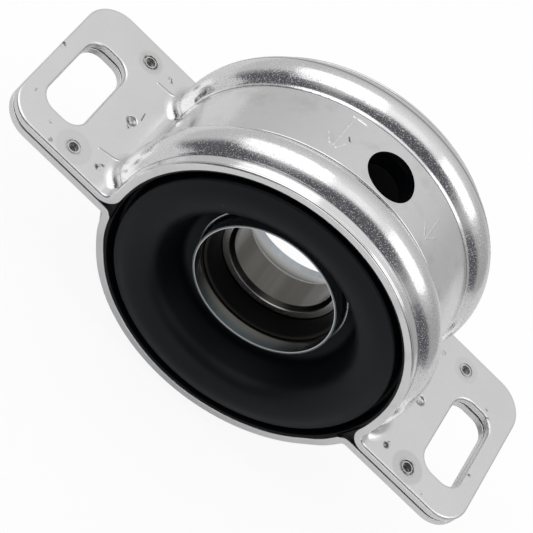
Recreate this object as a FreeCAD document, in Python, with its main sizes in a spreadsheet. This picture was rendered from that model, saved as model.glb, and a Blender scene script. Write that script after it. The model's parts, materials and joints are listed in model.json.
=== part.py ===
# Driveshaft centre bearing: two pressed half shells with slotted ears, a
# convoluted rubber cushion, a stepped sleeve, dust seals and a sealed ball
# bearing of 30 x 55 x 13 mm.
#
# Frame, in millimetres: X runs along the ears, Y along the shaft from the
# front rim to the rear one, Z is up, square to the ears. The origin is the
# centre of the bearing, on the shaft's axis.
import FreeCAD
import Part
import Sketcher

import math
import os

from FreeCAD import Vector

# Driving dimensions: name, size in mm (or a count, or degrees), what it is
DIMENSIONS = [
    ("overall_length", 164.0, "from ear end to ear end"),
    ("shell_length", 53.3, "width of the ears, front edge to rear edge"),
    ("shell_bore", 43.4, "inner radius of the shells between the beads"),
    ("sheet", 2.3, "thickness of the pressed sheet"),
    ("bead_inset", 10.3, "middle of each bead from the end of the ears' width"),
    ("bead_half", 6.7, "half the width of a bead, root to root"),
    ("bead_height", 3.5, "height of a bead over the plain band"),
    ("bead_root", 1.4, "outer radius at the root of a bead"),
    ("split_drop", 9.5, "seam between the shells, below the axis"),
    ("seam_gap", 0.45, "gap between the ears of the two shells"),
    ("upper_foot", 3.0, "radius where the upper shell meets its ears"),
    ("lower_foot", 1.3, "radius where the lower shell meets its ears"),
    ("ear_corner", 9.5, "radius of the outer corners of an ear"),
    ("slot_inset", 12.15, "middle of a slot from the end of its ear"),
    ("slot_width", 13.2, "width of a slot along X"),
    ("slot_length", 28.75, "length of a slot along Y"),
    ("slot_setback", 2.05, "how far a slot lies forward of the middle"),
    ("slot_corner", 5.0, "radius of the corners of a slot"),
    ("edge_break", 0.8, "rounding of the upper ears' sheared edges"),
    ("edge_burr", 0.35, "rounding of the lower ears' sheared edges"),
    ("seam_burr", 0.25, "rounding of both sheets' edges along the seam"),
    ("front_trim", 0.65, "how far the drum's front rim lies behind its ears'"),
    ("rear_trim", 2.95, "how far the drum's rear rim lies before its ears'"),
    ("trim_rise", 9.5, "height over which those rims run out to the ears"),
    ("trim_foot", 3.6, "where that run starts, over the face of an ear"),
    ("top_hole_radius", 7.25, "round hole in the top of the upper shell"),
    ("top_hole_setback", 1.4, "how far the hole lies forward of the middle"),
    ("joint_inset", 20.8, "corner joints from the end of an ear"),
    ("joint_front", 5.3, "front joints from the front edge of an ear"),
    ("joint_rear", 6.85, "rear joints from the rear edge of an ear"),
    ("joint_rim", 2.15, "outer radius of a joint's pressed groove"),
    ("joint_ring", 1.75, "outer radius of the land inside that groove"),
    ("joint_well", 1.4, "radius of the well in a joint"),
    ("joint_groove", 0.35, "depth of a joint's groove"),
    ("joint_depth", 1.5, "depth of a joint's well"),
    ("joint_seat", 2.3, "radius where the two ears touch at a joint"),
    ("button_radius", 2.5, "button that a joint leaves under the ear"),
    ("button_height", 1.1, "height of that button"),
    ("mark_inset", 27.5, "shallow middle dent from the end of an ear"),
    ("mark_setback", 0.6, "how far that dent lies forward of the middle"),
    ("mark_radius", 1.4, "radius of the dent"),
    ("mark_depth", 0.35, "depth of the dent"),
    ("rubber_setback", 0.4, "rubber behind the shell's rims"),
    ("lining", 0.7, "rubber lining on the shell beside the groove"),
    ("groove_width", 2.0, "annular groove round the front roll"),
    ("groove_depth", 5.2, "depth of that groove"),
    ("roll_corner", 0.9, "radius of the front roll's outer edge"),
    ("roll_width", 9.7, "front roll, edge to edge"),
    ("roll_lift", 0.2, "edges of the front roll over the rubber's rim"),
    ("roll_crown", 1.1, "crown of the front roll over its edges"),
    ("nose_reach", 2.8, "width of the roll's inner shoulder"),
    ("nose_drop", 3.8, "depth of the roll's inner shoulder"),
    ("nose_radius", 6.4, "radius of the roll's inner shoulder"),
    ("trough_lean", 1.8, "foot of the flank inside the sleeve's barrel"),
    ("trough_rise", 3.4, "foot of the flank before the sleeve's shoulder"),
    ("trough_root", 3.2, "radius at the bottom of the trough"),
    ("trough_span", 1.8, "width of that radius"),
    ("flange_skin", 0.7, "rubber over the sleeve's shoulder"),
    ("hub_margin", 0.15, "rubber's edge round the front tube's flare"),
    ("hub_wall", 5.4, "rubber on the sleeve's barrel"),
    ("hub_overlap", 0.8, "rubber behind the rear shoulder"),
    ("ring_wall", 4.8, "rubber on the inside of the shells"),
    ("roll_wall", 5.6, "hollow's bottom behind the rubber's rim"),
    ("tongue_reach", 1.7, "rubber between the shells, past their outside"),
    ("sleeve_wall", 0.6, "thickness of the sleeves"),
    ("tube_radius", 20.95, "outer radius of the tubes"),
    ("front_reach", 18.0, "front tube's rim from the middle"),
    ("rear_reach", 15.9, "rear tube's rim from the middle"),
    ("shoulder_place", 12.2, "outer face of the shoulders from the middle"),
    ("tube_bend", 0.9, "radius between tube and shoulder, outside"),
    ("barrel_bend", 1.2, "radius between shoulder and barrel, outside"),
    ("crimp_width", 1.8, "width of the crimped lip over the rear shoulder"),
    ("bore_radius", 15.0, "bore of the bearing"),
    ("race_radius", 27.5, "outer radius of the bearing"),
    ("bearing_width", 13.0, "width of the bearing"),
    ("bore_chamfer", 1.1, "chamfer of the bearing's bore, across"),
    ("bore_lead", 1.6, "the same chamfer, along the bore"),
    ("race_chamfer", 0.8, "chamfer of the bearing's outside"),
    ("land_share", 0.6579, "races' shoulders from the circle of balls, in ball radii"),
    ("seal_drop", 1.0, "inner race under its seals, below its shoulder"),
    ("seal_rise", 1.6, "seal seats in the outer race, over its shoulder"),
    ("seal_depth", 1.5, "depth of the seal seats"),
    ("seal_sheet", 0.9, "thickness of the bearing's seals"),
    ("seal_lip", 0.3, "height of the beads at a seal's edges"),
    ("ball_share", 0.28576, "radius of a ball, as a share of the races' span"),
    ("ball_count", 11, "number of balls"),
    ("ball_play", 0.05, "gap between a ball and its tracks"),
    ("pocket_play", 0.1, "gap between a ball and the cage"),
    ("cage_web", 1.2, "half the radial width of the cage"),
    ("cage_half", 4.4, "thickness of each half of the cage"),
    ("rivet_radius", 0.6, "radius of a cage rivet"),
    ("rivet_head", 0.95, "radius of a rivet's heads"),
    ("rivet_cap", 0.3, "height of a rivet's heads"),
    ("lip_play", 0.08, "running gap of the bearing's seal lips"),
    ("retainer_wall", 0.8, "thickness of the dust seals' steel rings"),
    ("retainer_hole", 22.6, "inner radius of those rings' flanges"),
    ("dust_play", 0.35, "dust lip before the bearing's face"),
    ("dust_front", 0.6, "dust seal before the sleeve's shoulder"),
    ("dust_wall", 1.1, "thickness of a dust seal's cone"),
    ("dust_heel", 1.7, "length of the dust seal's heel"),
    ("dust_eye", 18.15, "inner radius of a dust seal's lip"),
]

SHEET_NAME = "Dimensions"
POINT_GRIP = 1e-4


class Size:
    """A length with its number and the sheet expression that it comes from."""

    def __init__(self, value, text):
        self.value = value
        self.text = text

    def _join(self, other, sign, turn=False):
        other = as_size(other)
        left, right = (other, self) if turn else (self, other)
        text = "(" + left.text + " " + sign + " " + right.text + ")"
        if sign == "+":
            return Size(left.value + right.value, text)
        if sign == "-":
            return Size(left.value - right.value, text)
        if sign == "*":
            return Size(left.value * right.value, text)
        return Size(left.value / right.value, text)

    def __add__(self, other):
        return self._join(other, "+")

    def __radd__(self, other):
        return self._join(other, "+", True)

    def __sub__(self, other):
        return self._join(other, "-")

    def __rsub__(self, other):
        return self._join(other, "-", True)

    def __mul__(self, other):
        return self._join(other, "*")

    def __rmul__(self, other):
        return self._join(other, "*", True)

    def __truediv__(self, other):
        return self._join(other, "/")

    def __rtruediv__(self, other):
        return self._join(other, "/", True)

    def __neg__(self):
        return Size(-self.value, "(0 - " + self.text + ")")


def as_size(thing):
    return thing if isinstance(thing, Size) else Size(float(thing), repr(float(thing)))


def root(size):
    return Size(math.sqrt(size.value), "sqrt(" + size.text + ")")


def cosine(angle):
    return Size(math.cos(math.radians(angle.value)), "cos(" + angle.text + ")")


def sine(angle):
    return Size(math.sin(math.radians(angle.value)), "sin(" + angle.text + ")")


# The document and its sheet of dimensions
doc = FreeCAD.newDocument("centre_bearing")
sheet = doc.addObject("Spreadsheet::Sheet", SHEET_NAME)
for row, (alias, number, note) in enumerate(DIMENSIONS, start=1):
    sheet.set("A%d" % row, alias)
    sheet.set("B%d" % row, str(number))
    sheet.set("C%d" % row, note)
    sheet.setAlias("B%d" % row, alias)
doc.recompute()

dim = {alias: Size(float(number), SHEET_NAME + "." + alias)
       for alias, number, note in DIMENSIONS}

# Sizes that follow from the driving ones
half_length = dim["shell_length"] / 2
ear_end = dim["overall_length"] / 2
slot_middle = ear_end - dim["slot_inset"]
shell_outside = dim["shell_bore"] + dim["sheet"]
drum_front = half_length - dim["front_trim"]
drum_rear = half_length - dim["rear_trim"]
seam_top = -dim["split_drop"] + dim["seam_gap"] / 2
seam_bottom = -dim["split_drop"] - dim["seam_gap"] / 2
sleeve_barrel = dim["race_radius"] + dim["sleeve_wall"]
half_bearing = dim["bearing_width"] / 2
pitch_radius = (dim["bore_radius"] + dim["race_radius"]) / 2
ball_radius = (dim["race_radius"] - dim["bore_radius"]) * dim["ball_share"]
inner_land = pitch_radius - ball_radius * dim["land_share"]
outer_land = pitch_radius + ball_radius * dim["land_share"]
seal_step = inner_land - dim["seal_drop"]
seal_seat = outer_land + dim["seal_rise"]
ROOM = 6.0


def plane_of(body, role):
    return next(item for item in body.Origin.OriginFeatures if item.Role == role)


def new_body(name):
    body = doc.addObject("PartDesign::Body", name)
    body.Label = name
    return body


def new_sketch(body, name, role="XY_Plane", lift=None):
    sketch = body.newObject("Sketcher::SketchObject", name)
    sketch.AttachmentSupport = [(plane_of(body, role), "")]
    sketch.MapMode = "FlatFace"
    if lift is not None:
        sketch.setExpression("AttachmentOffset.Base.z", lift.text)
    return sketch


def bind(sketch, index, name, size):
    sketch.renameConstraint(index, name)
    sketch.setExpression("Constraints." + name, size.text)


def pin(sketch, geometry, place, x, y, name):
    """Hold one point of a sketch at x, y from the sketch's origin."""
    for kind, size, tail in (("DistanceX", x, "_x"), ("DistanceY", y, "_y")):
        if abs(size.value) < POINT_GRIP:
            line = -2 if kind == "DistanceX" else -1
            sketch.addConstraint(Sketcher.Constraint("PointOnObject", geometry, place, line))
        else:
            rule = Sketcher.Constraint(kind, -1, 1, geometry, place, size.value)
            bind(sketch, sketch.addConstraint(rule), name + tail, size)


def arc_between(start, end, radius, side):
    """The arc from start to end with its centre left (1) or right (-1)."""
    chord = end - start
    middle = (start + end) * 0.5
    reach = math.sqrt(max(radius ** 2 - chord.Length ** 2 / 4, 0.0))
    normal = Vector(-chord.y, chord.x, 0).normalize() * side
    centre = middle + normal * reach
    first, last = (start, end) if side > 0 else (end, start)
    angles = [math.atan2(p.y - centre.y, p.x - centre.x) for p in (first, last)]
    if angles[1] <= angles[0]:
        angles[1] += 2 * math.pi
    return Part.ArcOfCircle(Part.Circle(centre, Vector(0, 0, 1), radius), *angles)


def outline(sketch, points, arcs=None, name="p"):
    """A closed outline through points; arcs maps a point's number to the
    radius and side of the arc that leaves it."""
    arcs = arcs or {}
    places = [Vector(x.value, y.value, 0) for x, y in points]
    ends = []
    for number, start in enumerate(places):
        end = places[(number + 1) % len(places)]
        if number in arcs:
            radius, side = arcs[number]
            curve = arc_between(start, end, radius.value, side)
            geometry = sketch.addGeometry(curve, False)
            rule = Sketcher.Constraint("Radius", geometry, radius.value)
            bind(sketch, sketch.addConstraint(rule), "%s%d_r" % (name, number), radius)
            ends.append((geometry, 1, 2) if side > 0 else (geometry, 2, 1))
        else:
            geometry = sketch.addGeometry(Part.LineSegment(start, end), False)
            ends.append((geometry, 1, 2))
    for number, (geometry, first, last) in enumerate(ends):
        after, after_first, after_last = ends[(number + 1) % len(ends)]
        sketch.addConstraint(Sketcher.Constraint("Coincident", geometry, last, after, after_first))
    for number, (x, y) in enumerate(points):
        geometry, first, last = ends[number]
        pin(sketch, geometry, first, as_size(x), as_size(y), "%s%d" % (name, number))


def circle(sketch, x, y, radius, name):
    place = Vector(x.value, y.value, 0)
    ring = Part.Circle(place, Vector(0, 0, 1), radius.value)
    geometry = sketch.addGeometry(ring, False)
    rule = Sketcher.Constraint("Radius", geometry, radius.value)
    bind(sketch, sketch.addConstraint(rule), name + "_r", radius)
    pin(sketch, geometry, 3, x, y, name)


def revolve(body, sketch, name, cut=False):
    kind = "PartDesign::Groove" if cut else "PartDesign::Revolution"
    feature = body.newObject(kind, name)
    feature.Profile = sketch
    feature.ReferenceAxis = (sketch, ["V_Axis"])
    feature.Angle = 360
    sketch.Visibility = False
    doc.recompute()
    return feature


def turned(name, points, arcs=None):
    """A body turned about the shaft's axis from one outline of radius and Y."""
    body = new_body(name)
    sketch = new_sketch(body, name + "_section")
    outline(sketch, points, arcs)
    revolve(body, sketch, name + "_turned")
    return body


def dress(body, kind, name, edges, size):
    """Fillet or chamfer named edges of the body's last feature."""
    if not edges:
        raise RuntimeError("no edge found for " + name)
    base = body.Tip
    feature = body.newObject("PartDesign::" + kind, name)
    feature.Base = (base, edges)
    feature.setExpression("Radius" if kind == "Fillet" else "Size", size.text)
    doc.recompute()
    return feature


def bead_profile(radius, root_radius, crest_radius):
    """Points and arcs of a shell surface with its two beads, front to rear."""
    width, height = dim["bead_half"], dim["bead_height"]
    square = width * width + height * height
    across = 2 * width * height / square
    along = (width * width - height * height) / square
    points = [(radius, -half_length)]
    arcs = {}
    offset = half_length - dim["bead_inset"]
    for middle in (-offset, offset):
        foot = root_radius * (1 - along)
        step = root_radius * across
        arcs[len(points)] = (root_radius, -1)
        points.append((radius, middle - width))
        arcs[len(points)] = (crest_radius, 1)
        points.append((radius + foot, middle - width + step))
        arcs[len(points)] = (root_radius, -1)
        points.append((radius + foot, middle + width - step))
        points.append((radius, middle + width))
    points.append((radius, half_length))
    return points, arcs


def shell_surface(depth):
    """The shell's surface at a depth under its outside, as points and arcs."""
    width, height = dim["bead_half"], dim["bead_height"]
    both = (width * width + height * height) / (2 * height)
    root_radius = dim["bead_root"] + depth
    return bead_profile(shell_outside - depth, root_radius, both - root_radius)


def ring_outline(depth, inside, ends=None):
    """A closed section between a plain inner radius and a shell surface."""
    points, arcs = shell_surface(depth)
    if ends is not None:
        points[0] = (points[0][0], -ends)
        points[-1] = (points[-1][0], ends)
    far = points[-1][1]
    return points + [(inside, far), (inside, -far)], arcs


def rectangle(left, right, front, back):
    return [(left, front), (right, front), (right, back), (left, back)]


def upright_edges(shape, x, y):
    """The names of the edges that run along Z through x, y."""
    found = []
    for number, edge in enumerate(shape.Edges, start=1):
        ends = [vertex.Point for vertex in edge.Vertexes]
        if len(ends) != 2 or abs(ends[0].z - ends[1].z) < 0.5:
            continue
        if all(abs(p.x - x.value) < 1e-3 and abs(p.y - y.value) < 1e-3 for p in ends):
            found.append("Edge%d" % number)
    return found


def level_edges(shape, height, test):
    """The names of the edges that lie at one height and pass a test."""
    found = []
    for number, edge in enumerate(shape.Edges, start=1):
        box = edge.BoundBox
        if abs(box.ZMin - height.value) < 1e-3 and abs(box.ZMax - height.value) < 1e-3:
            if test(edge):
                found.append("Edge%d" % number)
    return found


def half_drum(body, name, seam, upper, core):
    """The turned drum with its beads, cut away on the far side of the seam."""
    sketch = new_sketch(body, name + "_outside")
    outline(sketch, *ring_outline(as_size(0), core))
    revolve(body, sketch, name + "_drum")
    sketch = new_sketch(body, name + "_other_half", lift=seam)
    reach = shell_outside + dim["bead_height"] + ROOM
    depth = half_length + ROOM
    outline(sketch, rectangle(-reach, reach, -depth, depth))
    cut = body.newObject("PartDesign::Pocket", name + "_halved")
    cut.Profile = sketch
    cut.Type = "ThroughAll"
    cut.Reversed = not upper
    finish(cut)


def ear_plates(body, name, seam, upper, core):
    """Both ears of a half shell, each with its slot and rounded corners."""
    middle = -dim["slot_setback"]
    front, back = middle - dim["slot_length"] / 2, middle + dim["slot_length"] / 2
    near = slot_middle - dim["slot_width"] / 2
    far = slot_middle + dim["slot_width"] / 2
    sketch = new_sketch(body, name + "_ear_outline", lift=seam)
    for hand, letter in ((1, "r"), (-1, "l")):
        ear = rectangle(hand * (core + 1), hand * ear_end, -half_length, half_length)
        outline(sketch, ear, name=letter + "e")
        outline(sketch, rectangle(hand * near, hand * far, front, back), name=letter + "s")
    pad = body.newObject("PartDesign::Pad", name + "_ears")
    pad.Profile = sketch
    pad.setExpression("Length", dim["sheet"].text)
    pad.Reversed = not upper
    finish(pad)
    ends = [(hand * ear_end, place) for hand in (1, -1) for place in (-half_length, half_length)]
    edges = [edge for x, y in ends for edge in upright_edges(body.Tip.Shape, x, y)]
    dress(body, "Fillet", name + "_ear_corners", edges, dim["ear_corner"])
    ends = [(hand * x, y) for hand in (1, -1) for x in (near, far) for y in (front, back)]
    edges = [edge for x, y in ends for edge in upright_edges(body.Tip.Shape, x, y)]
    dress(body, "Fillet", name + "_slot_corners", edges, dim["slot_corner"])


def bend(side):
    """Where a shell turns into its ears: the middle of the bend, the radius
    on its far side, and where that side leaves the drum."""
    foot = dim["upper_foot"] if side > 0 else dim["lower_foot"]
    seam = seam_top if side > 0 else seam_bottom
    drop = seam + side * (dim["sheet"] + foot)
    distance = shell_outside + foot
    across = root(distance * distance - drop * drop)
    share = dim["shell_bore"] / distance
    return (across, drop), foot + dim["sheet"], (across * share, drop * share)


def round_the_feet(body, name, side, core):
    """Round the corner between drum and ears on the side of the ears' faces."""
    seam = seam_top if side > 0 else seam_bottom
    face = seam + side * dim["sheet"]
    limit = (shell_outside + dim["bead_height"] + 1).value

    def at_foot(edge):
        box = edge.BoundBox
        near = min(abs(box.XMin), abs(box.XMax))
        far = max(abs(box.XMin), abs(box.XMax))
        return near > core.value + 2 and far < limit

    edges = level_edges(body.Tip.Shape, face, at_foot)
    foot = dim["upper_foot"] if side > 0 else dim["lower_foot"]
    dress(body, "Fillet", name + "_foot", edges, foot)


def hollow_out(body, name, side, core):
    """Open the drum to the shell's inside and round the sheet's inner bends."""
    sketch = new_sketch(body, name + "_inside")
    points, arcs = shell_surface(dim["sheet"])
    front, rear = -half_length - 1, half_length + 1
    points[0] = (points[0][0], front)
    points[-1] = (points[-1][0], rear)
    outline(sketch, points + [(as_size(0), rear), (as_size(0), front)], arcs)
    revolve(body, sketch, name + "_hollow", cut=True)

    middle, radius, leave = bend(side)
    seam = seam_top if side > 0 else seam_bottom
    beyond = seam - side * 1.0
    sketch = new_sketch(body, name + "_inner_bends", role="XZ_Plane")
    for hand, letter in ((1, "r"), (-1, "l")):
        corner = [(hand * leave[0], leave[1]), (hand * middle[0], seam),
                  (hand * middle[0], beyond), (hand * (core + 1), beyond),
                  (hand * (core + 1), leave[1])]
        outline(sketch, corner, {0: (radius, hand * side)}, name=letter)
    cut = body.newObject("PartDesign::Pocket", name + "_bends")
    cut.Profile = sketch
    cut.Type = "ThroughAll"
    cut.Midplane = True
    finish(cut)


def joint_places():
    """The pressed joints of the ears: two on each, toward the drum."""
    far = ear_end - dim["joint_inset"]
    front, rear = dim["joint_front"] - half_length, half_length - dim["joint_rear"]
    return [(hand * far, y, "%s%s" % (letter, tail))
            for hand, letter in ((1, "r"), (-1, "l"))
            for y, tail in ((front, "f"), (rear, "b"))]


def dent_places():
    """The shallow dents of the ears: one in the middle of each."""
    far = ear_end - dim["mark_inset"]
    return [(hand * far, -dim["mark_setback"], dim["mark_radius"], tail)
            for hand, tail in ((1, "r"), (-1, "l"))]


def add_discs(body, name, lift, circles, depth, cut=False, down=True):
    """Pad or pocket a set of circles: x, y, radius and a name for each."""
    sketch = new_sketch(body, name + "_circles", lift=lift)
    for x, y, radius, tail in circles:
        circle(sketch, x, y, radius, tail)
    kind = "PartDesign::Pocket" if cut else "PartDesign::Pad"
    feature = body.newObject(kind, name)
    feature.Profile = sketch
    feature.setExpression("Length", depth.text)
    feature.Reversed = down != cut
    finish(feature)


def upper_details(body):
    """The hole in the top, the pressed joints and dents of the ears."""
    face = seam_top + dim["sheet"]
    sketch = new_sketch(body, "top_hole_circle")
    circle(sketch, as_size(0), -dim["top_hole_setback"], dim["top_hole_radius"], "top")
    cut = body.newObject("PartDesign::Pocket", "top_hole")
    cut.Profile = sketch
    cut.Type = "ThroughAll"
    cut.Reversed = True
    finish(cut)
    places = joint_places()
    grooves = [(x, y, dim["joint_rim"], tail) for x, y, tail in places]
    grooves += [(x, y, dim["joint_ring"], tail + "i") for x, y, tail in places]
    add_discs(body, "joint_grooves", face, grooves, dim["joint_groove"], cut=True)
    wells = [(x, y, dim["joint_well"], tail) for x, y, tail in places]
    add_discs(body, "joint_wells", face, wells, dim["joint_depth"], cut=True)
    add_discs(body, "middle_dents", face, dent_places(), dim["mark_depth"], cut=True)
    seats = [(x, y, dim["joint_seat"], tail) for x, y, tail in places]
    add_discs(body, "joint_seats", seam_top, seats, dim["seam_gap"])


def lower_details(body):
    """The buttons that the pressed joints leave under the ears."""
    face = seam_bottom - dim["sheet"]
    buttons = [(x, y, dim["button_radius"], tail) for x, y, tail in joint_places()]
    add_discs(body, "joint_buttons", face, buttons, dim["button_height"])
    add_discs(body, "middle_bumps", face, dent_places(), dim["mark_depth"])


def break_edges(body, name, side):
    """Take the sharpness off the ears' outer edges, slots and rims."""
    seam = seam_top if side > 0 else seam_bottom
    slot_end = (slot_middle - dim["slot_width"] / 2).value - 0.01

    def outboard(edge):
        box = edge.BoundBox
        return min(abs(box.XMin), abs(box.XMax)) > slot_end

    size = dim["edge_break"] if side > 0 else dim["edge_burr"]
    edges = level_edges(body.Tip.Shape, seam + side * dim["sheet"], outboard)
    dress(body, "Fillet", name + "_broken_edges", edges, size)
    edges = level_edges(body.Tip.Shape, seam, outboard)
    dress(body, "Fillet", name + "_seam_edges", edges, dim["seam_burr"])


def trim(body, name, points, arcs, start):
    """Cut the drum's rim back along points, from a height over the ears up."""
    far_y = half_length + ROOM if points[0][0].value > 0 else -half_length - ROOM
    beyond = shell_outside + dim["bead_height"] + ROOM
    beyond = beyond if start.value > seam_top.value else -beyond
    points = points + [(points[-1][0], beyond), (far_y, beyond), (far_y, start)]
    sketch = new_sketch(body, name + "_outline", role="YZ_Plane")
    outline(sketch, points, arcs)
    cut = body.newObject("PartDesign::Pocket", name)
    cut.Profile = sketch
    cut.Type = "ThroughAll"
    cut.Midplane = True
    finish(cut)


def trim_front(body, name, side):
    """Draw the drum's front rim back from the ears' front edges, in a gentle S."""
    seam = seam_top if side > 0 else seam_bottom
    start = seam + side * (dim["sheet"] + dim["trim_foot"])
    depth, rise = dim["front_trim"], dim["trim_rise"]
    sway = (depth * depth + rise * rise) / (4 * depth)
    points = [(-half_length, start), (-half_length + depth / 2, start + side * rise / 2),
              (-drum_front, start + side * rise)]
    trim(body, name + "_front_rim", points, {0: (sway, -side), 1: (sway, side)}, start)


def trim_rear(body, name, side):
    """Set the drum's rear rim forward of the ears' rear edges."""
    seam = seam_top if side > 0 else seam_bottom
    start = seam + side * (dim["sheet"] + dim["trim_foot"])
    depth, rise = dim["rear_trim"], dim["trim_rise"]
    scoop = (depth * depth + rise * rise) / (2 * depth)
    points = [(half_length, start), (drum_rear, start + side * rise)]
    trim(body, name + "_rear_rim", points, {0: (scoop, -side)}, start)


def half_shell(name, side):
    """A pressed half shell with its ears: side 1 is the upper, -1 the lower."""
    body = new_body(name)
    seam = seam_top if side > 0 else seam_bottom
    core = dim["shell_bore"] - ROOM
    half_drum(body, name, seam, side > 0, core)
    ear_plates(body, name, seam, side > 0, core)
    round_the_feet(body, name, side, core)
    hollow_out(body, name, side, core)
    trim_front(body, name, side)
    break_edges(body, name, side)
    trim_rear(body, name, side)
    if side > 0:
        upper_details(body)
    else:
        lower_details(body)
    return body


def cushion():
    """The rubber cushion: lining and keys in the shells, groove, front roll,
    trough, hub round the sleeve and the hollow that opens to the rear."""
    body = new_body("rubber_cushion")
    rim = drum_front - dim["rubber_setback"]
    rear_rim = drum_rear - dim["rubber_setback"]
    ring = dim["shell_bore"] - dim["ring_wall"]
    hub = sleeve_barrel + dim["hub_wall"]
    groove_out = dim["shell_bore"] - dim["lining"]
    groove_in = groove_out - dim["groove_width"]
    round_floor = dim["groove_width"] / 2
    groove_floor = -rim + dim["groove_depth"] - round_floor
    edge = -rim - dim["roll_lift"]
    roll_in = groove_in - dim["roll_width"]
    nose = roll_in - dim["nose_reach"]
    shoulder = -dim["shoulder_place"]
    skin = shoulder - dim["flange_skin"]
    foot = sleeve_barrel - dim["trough_lean"]
    flare = dim["tube_radius"] + dim["tube_bend"] + dim["hub_margin"]
    half_roll = (dim["roll_width"] - dim["roll_corner"]) / 2
    crown = (half_roll * half_roll + dim["roll_crown"] * dim["roll_crown"])
    crown = crown / (2 * dim["roll_crown"])
    hollow = (ring - hub) / 2
    hollow_floor = -rim + dim["roll_wall"] + hollow
    bend_in = dim["barrel_bend"]
    rear_end = dim["shoulder_place"] + dim["hub_overlap"]

    points, arcs = shell_surface(dim["sheet"])
    points[0] = (points[0][0], -rim)
    points[-1] = (points[-1][0], rear_rim)
    points.append((ring, rear_rim))
    arcs[len(points)] = (hollow, -1)
    points.append((ring, hollow_floor))
    arcs[len(points)] = (hollow, -1)
    points.append((ring - hollow, hollow_floor - hollow))
    points += [(hub, hollow_floor), (hub, rear_end), (sleeve_barrel, rear_end)]
    arcs[len(points)] = (bend_in, -1)
    points.append((sleeve_barrel, shoulder + bend_in))
    points += [(sleeve_barrel - bend_in, shoulder), (flare, shoulder), (flare, skin)]
    arcs[len(points)] = (dim["trough_root"], -1)
    points.append((foot - dim["trough_span"], skin - dim["trough_root"] * 0.15))
    points.append((foot, shoulder - dim["trough_rise"]))
    arcs[len(points)] = (dim["nose_radius"], 1)
    points.append((nose, edge + dim["nose_drop"]))
    arcs[len(points)] = (crown, 1)
    points.append((roll_in, edge))
    arcs[len(points)] = (dim["roll_corner"], 1)
    points.append((groove_in - dim["roll_corner"], edge))
    points.append((groove_in, edge + dim["roll_corner"]))
    arcs[len(points)] = (round_floor, -1)
    points.append((groove_in, groove_floor))
    arcs[len(points)] = (round_floor, -1)
    points.append((groove_in + round_floor, groove_floor + round_floor))
    points += [(groove_out, groove_floor), (groove_out, -rim)]
    sketch = new_sketch(body, "cushion_section")
    outline(sketch, points, arcs)
    revolve(body, sketch, "cushion_turned")
    tongues(body, rim, rear_rim)
    return body


def tongues(body, rim, rear_rim):
    """Rubber that fills the gap where the two shells bend out to the ears."""
    bury = 1 - dim["lining"] / (2 * dim["shell_bore"])
    high, high_radius, high_leave = bend(1)
    low, low_radius, low_leave = bend(-1)
    reach = shell_outside + dim["tongue_reach"]
    rise = root(high_radius * high_radius - (high[0] - reach) * (high[0] - reach))
    sketch = new_sketch(body, "tongue_section", role="XZ_Plane", lift=rim)
    for hand, letter in ((1, "r"), (-1, "l")):
        points = [(hand * high_leave[0] * bury, high_leave[1] * bury),
                  (hand * high_leave[0], high_leave[1]),
                  (hand * reach, high[1] - rise), (hand * reach, seam_bottom),
                  (hand * low[0], seam_bottom),
                  (hand * low_leave[0], low_leave[1]),
                  (hand * low_leave[0] * bury, low_leave[1] * bury)]
        outline(sketch, points, {1: (high_radius, hand), 4: (low_radius, hand)}, name=letter)
    pad = body.newObject("PartDesign::Pad", "tongues")
    pad.Profile = sketch
    pad.Reversed = True
    pad.setExpression("Length", (rim + rear_rim).text)
    finish(pad)


def front_sleeve():
    """The sleeve round the bearing: front tube, shoulder, barrel and crimp."""
    wall, tube = dim["sleeve_wall"], dim["tube_radius"]
    outside, inside = sleeve_barrel, dim["race_radius"]
    place, bend_out = dim["shoulder_place"], dim["barrel_bend"]
    turn = dim["tube_bend"]
    front = -dim["front_reach"]
    points = [(tube - wall, front), (tube, front), (tube, -place - turn),
              (tube + turn, -place), (outside - bend_out, -place),
              (outside, -place + bend_out), (outside, place - bend_out),
              (outside - bend_out, place), (outside - dim["crimp_width"], place),
              (outside - dim["crimp_width"], place - wall),
              (outside - bend_out, place - wall), (inside, place - bend_out),
              (inside, -place + bend_out), (outside - bend_out, wall - place),
              (tube + turn, wall - place), (tube - wall, -place - turn)]
    near = bend_out - wall
    arcs = {2: (turn, -1), 4: (bend_out, 1), 6: (bend_out, 1), 10: (near, -1),
            12: (near, -1), 14: (turn + wall, 1)}
    return turned("front_sleeve", points, arcs)


def rear_sleeve():
    """The rear tube with its flange, held by the front sleeve's crimp."""
    wall, tube = dim["sleeve_wall"], dim["tube_radius"]
    back = dim["shoulder_place"] - wall
    turn = dim["tube_bend"]
    rim = dim["race_radius"] - (dim["barrel_bend"] - wall)
    rear = dim["rear_reach"]
    points = [(tube - wall, rear), (tube - wall, back + turn),
              (tube + turn, back - wall), (rim, back - wall), (rim, back),
              (tube + turn, back), (tube, back + turn), (tube, rear)]
    return turned("rear_sleeve", points, {1: (turn + wall, 1), 5: (turn, -1)})


def mirrored(points, side):
    """Points of a ring at the front (-1), or mirrored to the rear (1)."""
    return [(x, side * as_size(y)) for x, y in points]


def retainer(name, side):
    """The steel ring that holds a dust seal and clamps the outer race."""
    inside = dim["shoulder_place"] - dim["sleeve_wall"]
    if side > 0:
        inside = inside - dim["sleeve_wall"]
    wall, outside = dim["retainer_wall"], dim["race_radius"]
    corner = dim["barrel_bend"] - dim["sleeve_wall"]
    points = [(outside, half_bearing), (outside, inside - corner),
              (outside - corner, inside), (dim["retainer_hole"], inside),
              (dim["retainer_hole"], inside - wall), (outside - wall, inside - wall),
              (outside - wall, half_bearing)]
    return turned(name, mirrored(points, side))


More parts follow.
